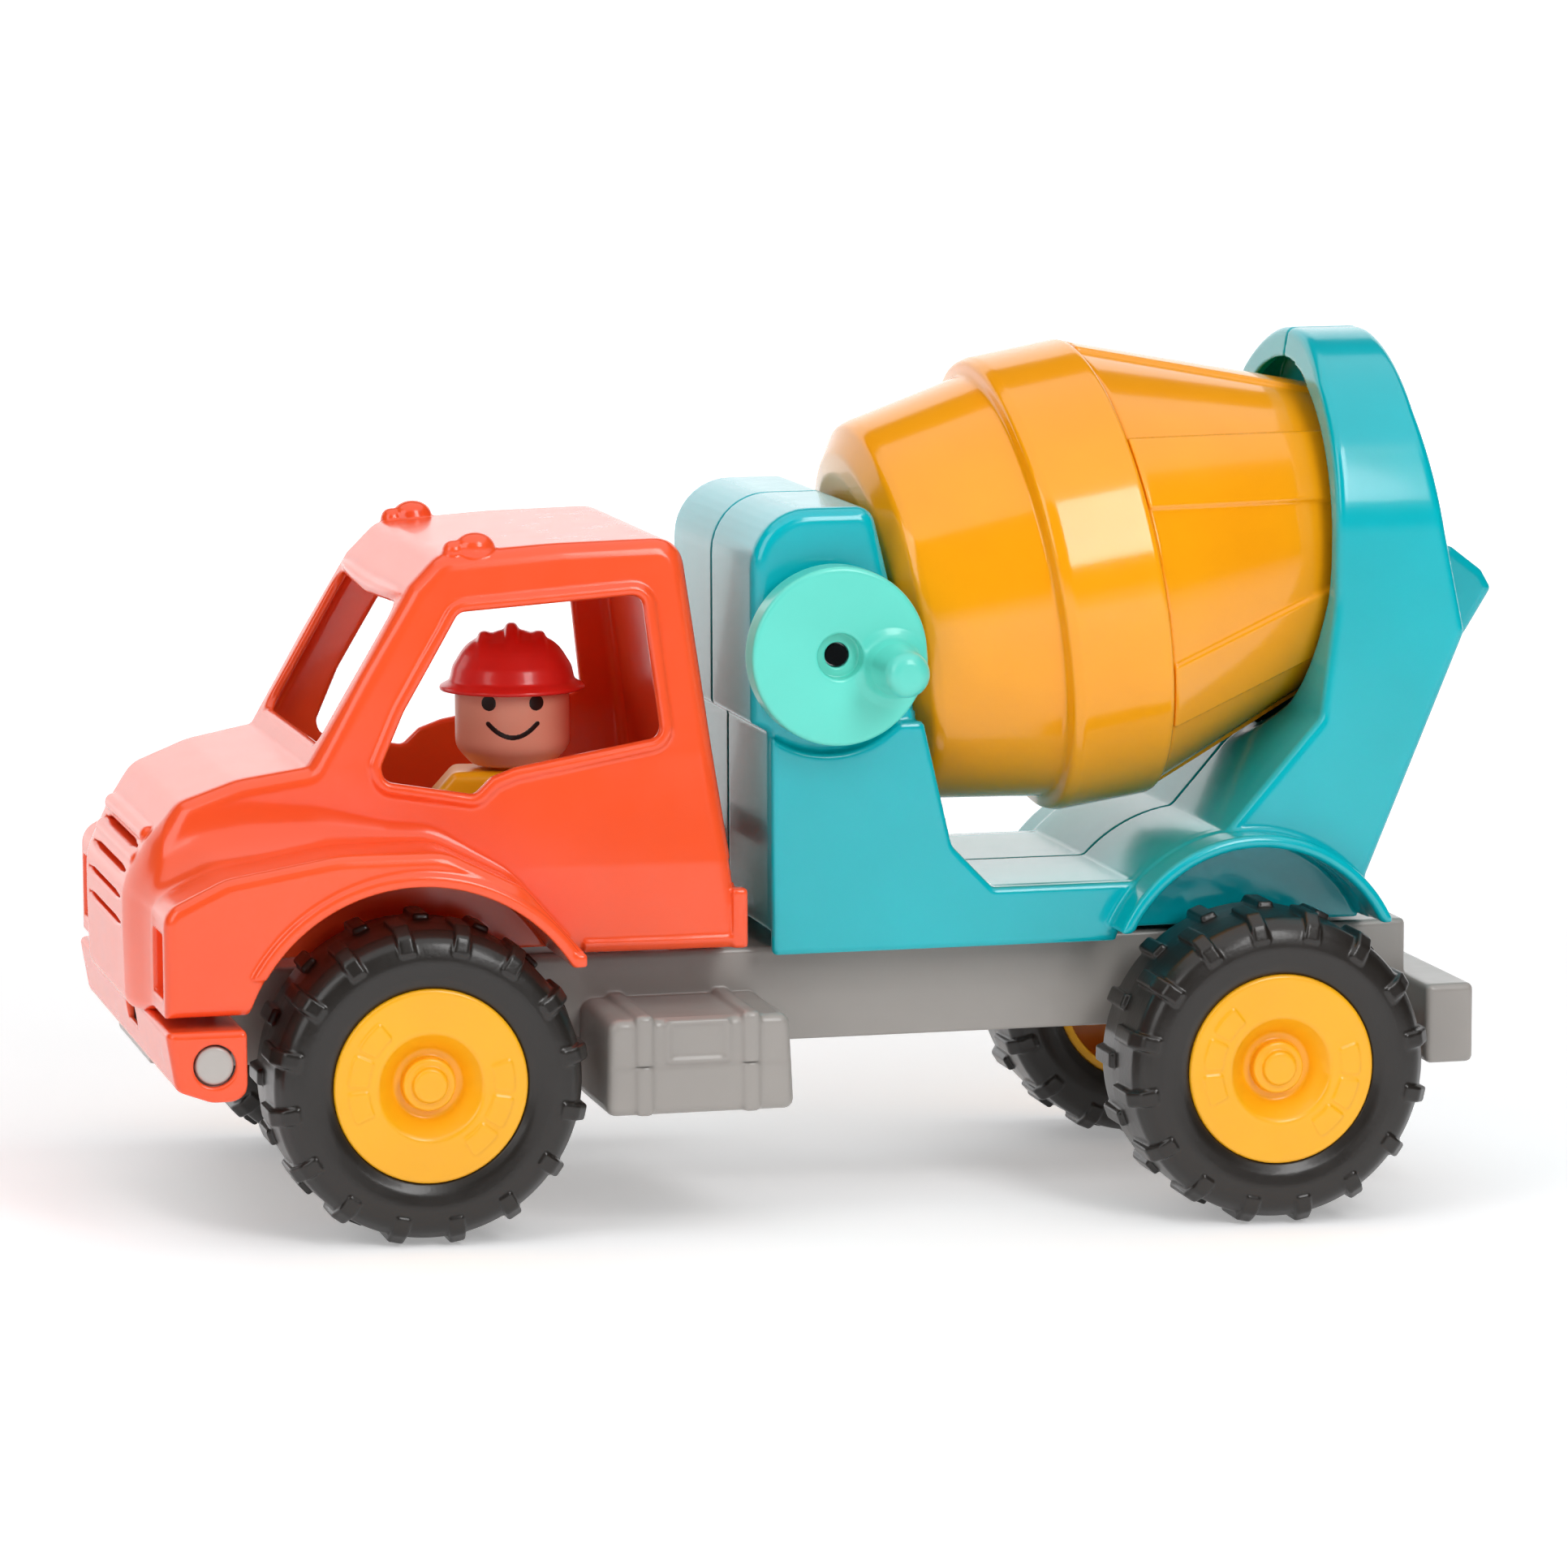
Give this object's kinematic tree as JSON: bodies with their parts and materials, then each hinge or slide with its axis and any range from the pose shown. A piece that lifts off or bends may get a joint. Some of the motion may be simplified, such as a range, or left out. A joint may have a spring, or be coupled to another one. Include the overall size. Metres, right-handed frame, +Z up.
{
  "type": "toy cement mixer",
  "caption": "Toy cement mixer lorry: rolling wheels, a hand crank geared to a tilted hollow drum with a rear spout, and a cab with a turning driver figure.",
  "frame": {"origin": "on the ground below the middle of the lorry's overall length and width", "axes": "+X towards the front bumper, +Y to the lorry's left (the crank's side), +Z up"},
  "size_m": [0.3633, 0.156, 0.2262],
  "materials": {
    "orange_plastic": "gloss",
    "teal_plastic": "gloss",
    "mint_plastic": "gloss",
    "amber_plastic": "gloss",
    "yellow_plastic": "gloss",
    "grey_plastic": "satin",
    "light_grey_plastic": "satin",
    "black_tyre": "semi-gloss",
    "red_plastic": "gloss",
    "skin_plastic": "satin",
    "white_nylon": "satin",
    "steel": "bright"
  },
  "bodies": {
    "lorry": {"chassis_frame": "grey_plastic", "front_bumper": "orange_plastic", "bumper_pin_left": "light_grey_plastic", "bumper_pin_right": "light_grey_plastic", "cab_shell": "orange_plastic", "seat_base": "grey_plastic", "body_half_left": "teal_plastic", "body_half_right": "teal_plastic", "discharge_chute": "teal_plastic", "body_mounting_screws": "steel", "cab_mounting_screws": "steel", "body_joining_screws": "steel"},
    "driver": {"driver_torso": "yellow_plastic", "driver_head": "skin_plastic", "driver_helmet": "red_plastic"},
    "drum": {"drum_front_shell": "amber_plastic", "drum_rear_shell": "amber_plastic", "crown_gear": "white_nylon", "spindle_screw": "steel"},
    "crank": {"crank_wheel": "mint_plastic", "crank_shaft": "steel", "crank_pinion": "white_nylon", "crank_screw": "steel", "crank_shaft_cap": "mint_plastic"},
    "front_wheels": {"front_axle": "steel", "front_left_hub": "yellow_plastic", "front_left_tyre": "black_tyre", "front_right_hub": "yellow_plastic", "front_right_tyre": "black_tyre"},
    "rear_wheels": {"rear_axle": "steel", "rear_left_hub": "yellow_plastic", "rear_left_tyre": "black_tyre", "rear_right_hub": "yellow_plastic", "rear_right_tyre": "black_tyre"}
  },
  "joints": [
    {"name": "front_axle_spin", "type": "hinge", "parent": "lorry", "child": "front_wheels", "pos_m": [0.1112, 0, 0.0408], "axis": [0, 1, 0], "continuous": true},
    {"name": "rear_axle_spin", "type": "hinge", "parent": "lorry", "child": "rear_wheels", "pos_m": [-0.1098, 0, 0.0408], "axis": [0, 1, 0], "continuous": true},
    {"name": "drum_spin", "type": "hinge", "parent": "lorry", "child": "drum", "pos_m": [0.00478, 0, 0.14551], "axis": [0.981, 0, -0.1942], "continuous": true},
    {"name": "crank_spin", "type": "hinge", "parent": "lorry", "child": "crank", "pos_m": [0.00478, 0, 0.14551], "axis": [0, 1, 0], "continuous": true},
    {"name": "driver_turn", "type": "hinge", "parent": "lorry", "child": "driver", "pos_m": [0.07559, 0, 0.08381], "axis": [0.0279, 0, 0.9996], "continuous": true}
  ],
  "couplings": [
    {"joint": "crank_spin", "follows": "drum_spin", "ratio": 2.4}
  ]
}
